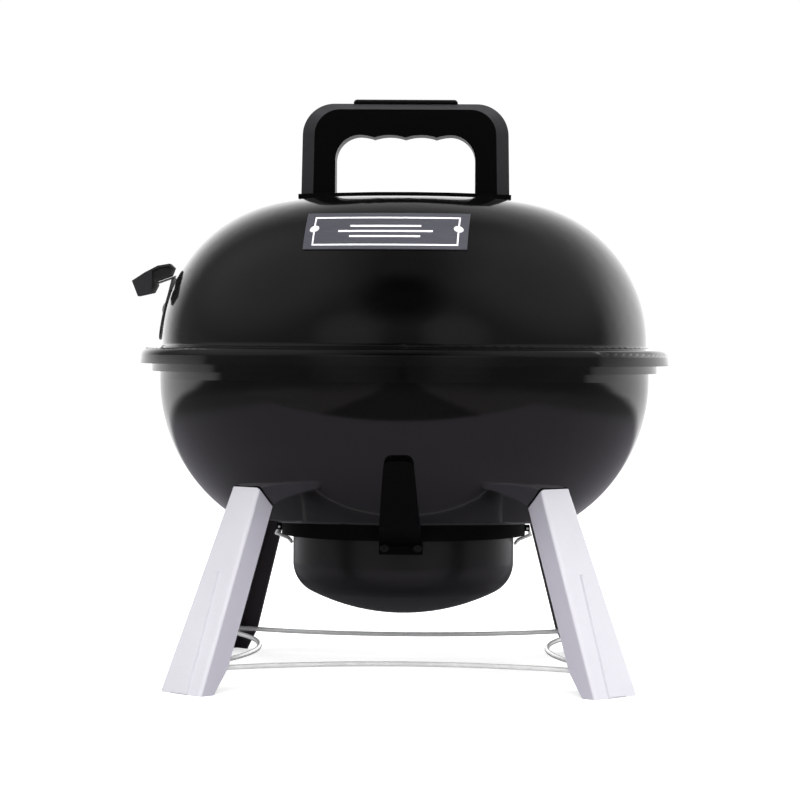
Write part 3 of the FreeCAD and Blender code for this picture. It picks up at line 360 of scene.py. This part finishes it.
def softened(node, width, shape=None):
    """A copy of a CAD node with its hard edges rounded, which takes the node's place."""
    source = NODES[node]
    bpy.ops.object.select_all(action="DESELECT")
    copy = bpy.data.objects.new(node + "_soft", source.data.copy())
    bpy.context.scene.collection.objects.link(copy)
    bpy.context.view_layer.objects.active = copy
    copy.select_set(True)
    bpy.ops.object.mode_set(mode="EDIT")
    bpy.ops.mesh.select_all(action="SELECT")
    bpy.ops.mesh.remove_doubles(threshold=0.00001)
    bpy.ops.mesh.customdata_custom_splitnormals_clear()
    bpy.ops.mesh.dissolve_limited(angle_limit=math.radians(0.8))
    if shape:
        shape(copy)
    bpy.ops.object.mode_set(mode="OBJECT")
    rounding = copy.modifiers.new("edges", "BEVEL")
    rounding.width = width
    rounding.segments = 3
    rounding.limit_method = "ANGLE"
    rounding.angle_limit = math.radians(25)
    bpy.ops.object.modifier_apply(modifier="edges")
    bpy.ops.object.shade_smooth_by_angle(angle=math.radians(50))
    flats = copy.modifiers.new("flats", "WEIGHTED_NORMAL")
    flats.mode = "FACE_AREA"
    flats.weight = 100
    flats.keep_sharp = True
    bpy.ops.object.modifier_apply(modifier="flats")
    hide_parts(node)
    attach(copy, source["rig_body"])
    return copy


# ---------------------------------------------------------------- dressing the grill

HANDLE = softened("lid_handle", 0.0016)
PAD = softened("handle_top_pad", 0.0014)
TONGUE = softened("ash_bowl_grip", 0.0009)
LEVER = softened("damper_lever_grip", 0.0006, scoop_lever)
SKIRT = softened("handle_heat_shield", 0.0004, deepen_shield)
LEG_SKINS = [softened(leg, 0.0007) for leg in LEGS]

put_on(enamel("black_enamel", 0.0014, 0.07, 0.0000035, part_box("lid")[1].z - HEAT_DULLED_DEPTH), "lid", "bowl")
put_on(enamel("ash_bowl_enamel", 0.0025, 0.32, 0.000006), "ash_bowl")
put_on(sprayed_black("heatproof_black", 0.0015, 0.7), "ash_collar", "grate_supports", SKIRT.name)
put_on(moulded("handle_black", 0.0008, 0.32, 0.0011, 0.000012, 0.035, 0.16, 4.0), HANDLE.name)
put_on(moulded("pad_grained", 0.003, 0.5, 0.0009, 0.00004, 0.022), PAD.name)
put_on(moulded("grip_black", 0.0006, 0.5, 0.0009, 0.00002, 0.004, 0.1), TONGUE.name)
put_on(moulded("lever_grey", 0.02, 0.5, 0.0009, 0.00002, 0.05, middle=LEVER_MIDDLE), LEVER.name)
put_on(silver_paint("silver_leg_paint"), *[skin.name for skin in LEG_SKINS])
put_on(plated("bright_wire", 0.96, 0.14, metal=0.4), "brace_ring", "ash_clip_left", "ash_clip_right")
put_on(plated("grate_wire", 0.8, 0.16), "cooking_grate")
put_on(plated("damper_plate", 0.3, 0.34), "lid_damper", "damper_rivet")
put_on(plated("plate_rivets", 0.95, 0.4, metal=0.3), "name_plate_rivets")
put_on(plated("zinc_plate", 0.6, 0.26, (0.98, 0.99, 1.03)), "handle_screws", "leg_bolts", "leg_nuts")
put_on(plated("dark_screws", 0.04, 0.45), "grip_screws")
put_on(plated("bare_steel", 0.32, 0.36), "charcoal_grate")
put_on(plate_face("name_plate_face"), "name_plate")


# ---------------------------------------------------------------- studio

def make_room():
    """A white sweep behind the grill and a dimmer room in front of it."""
    world = bpy.data.worlds.new("studio")
    bpy.context.scene.world = world
    world.use_nodes = True
    nodes = Nodes(world.node_tree)
    background = world.node_tree.nodes["Background"]
    way = nodes.node("TexCoord", output="Generated")

    def toward(direction, edge, core):
        """1 within core degrees of a direction, 0 beyond edge degrees."""
        unit = Vector(direction).normalized()
        cosine = nodes.node("VectorMath", {"operation": "DOT_PRODUCT"},
                            {0: way, 1: tuple(unit)}, output="Value")
        return nodes.rise(cosine, math.cos(math.radians(edge)), math.cos(math.radians(core)))

    height = nodes.node("SeparateXYZ", {}, {0: way}, output="Z")
    sweep = toward((0.225, 0.974, 0.05), 64, 28) * (1 - 0.75 * nodes.rise(height, 0.15, 0.7))
    windows = toward((0.42, -0.9, 0.1), 20, 4) + toward((-0.42, -0.9, 0.1), 20, 4)
    overhead = toward((0.75, -0.1, 0.66), 45, 15) + toward((-0.75, -0.1, 0.66), 45, 15)
    shade = toward((0, -0.82, 0.57), 25, 4)
    gap = toward((0, -1, 0.05), 16, 3)
    above = toward((0, -0.33, 0.94), 34, 4)
    room = 0.19 + 1.4 * sweep + 0.16 * windows + 0.2 * overhead - 0.2 * shade - 0.06 * gap - 0.08 * above
    seen = nodes.node("LightPath", output="Is Camera Ray")
    glance = nodes.node("LightPath", output="Is Glossy Ray")
    level = seen * 1.02 + (1 - seen) * (glance * room + (1 - glance) * 0.5)
    world.node_tree.links.new(level.socket, background.inputs["Strength"])
    background.inputs["Color"].default_value = (1, 1, 1, 1)


def make_floor():
    """A pale floor; seen in a glossy surface it ends like a table top does."""
    bpy.ops.mesh.primitive_plane_add(size=80, location=(0, 0, 0))
    floor = bpy.context.active_object
    floor.name = "pale_floor"
    bpy.ops.object.transform_apply(location=True, rotation=True, scale=True)
    finish = Finish("pale_floor_paint",
                    {"Roughness": 0.9, "Specular IOR Level": 0.05, "Emission Strength": 1.0})
    across, along = finish.axis("X"), finish.axis("Y")
    table = finish.rise(along, -0.56, -0.53) * (1 - finish.rise(abs(across), 0.7, 1.1))
    beyond = finish.rise(along, 0.8, 1.6)
    block = 1 - finish.rise(abs(across), 0.3, 0.4)
    glance = finish.node("LightPath", output="Is Glossy Ray")
    seen = finish.node("LightPath", output="Is Camera Ray")
    shiny = finish.mixed(table, finish.mixed(block, grey(0.16), grey(0.05)), grey(0.26, (1, 0.97, 1.07)))
    finish.feed("Base Color", finish.mixed(glance, grey(0.9), shiny))
    glow = finish.mixed(seen, grey(0), grey(0.62))
    finish.feed("Emission Color", finish.mixed(glance * beyond, glow, grey(1.0)))
    put_on(finish, "pale_floor")


def add_panel(name, spot, target, size, power):
    """A soft rectangular light pointed at a target."""
    light = bpy.data.lights.new(name, "AREA")
    light.shape = "RECTANGLE"
    light.size = size[0]
    light.size_y = size[1]
    light.energy = power
    holder = bpy.data.objects.new(name, light)
    holder.location = spot
    holder.rotation_mode = "QUATERNION"
    holder.rotation_quaternion = (Vector(target) - Vector(spot)).to_track_quat("-Z", "Y")
    holder.visible_glossy = False
    bpy.context.scene.collection.objects.link(holder)


def make_camera():
    """A long lens almost level with the lid, a touch to the right of the front."""
    camera = bpy.data.objects.new("camera", bpy.data.cameras.new("camera"))
    camera.data.lens = 132.5
    camera.data.sensor_width = 36
    camera.data.clip_end = 50
    around = math.radians(1.2)
    camera.location = (CAMERA_REACH * math.sin(around), -CAMERA_REACH * math.cos(around), CAMERA_HEIGHT)
    camera.rotation_mode = "QUATERNION"
    heading = Quaternion((0, 0, 1), around + math.radians(0.0817))
    pitch = Quaternion((1, 0, 0), math.radians(90 - 1.0699))
    roll = Quaternion((0, 0, 1), math.radians(0.35))
    camera.rotation_quaternion = heading @ pitch @ roll
    bpy.context.scene.collection.objects.link(camera)
    bpy.context.scene.camera = camera


make_room()
make_floor()
add_panel("top_panel", (0.2, -0.3, 1.9), (0, 0, 0.2), (1.6, 1.2), 32)
add_panel("front_panel", (0.2, -2.3, 1.3), (0, 0, 0.1), (2.0, 1.2), 22)
add_panel("left_panel", (-1.7, -1.0, 1.0), (0, 0, 0.2), (1.0, 1.4), 14)
add_panel("right_panel", (1.7, -1.0, 1.0), (0, 0, 0.2), (1.0, 1.4), 10)
make_camera()
bpy.context.scene.view_settings.view_transform = "Standard"
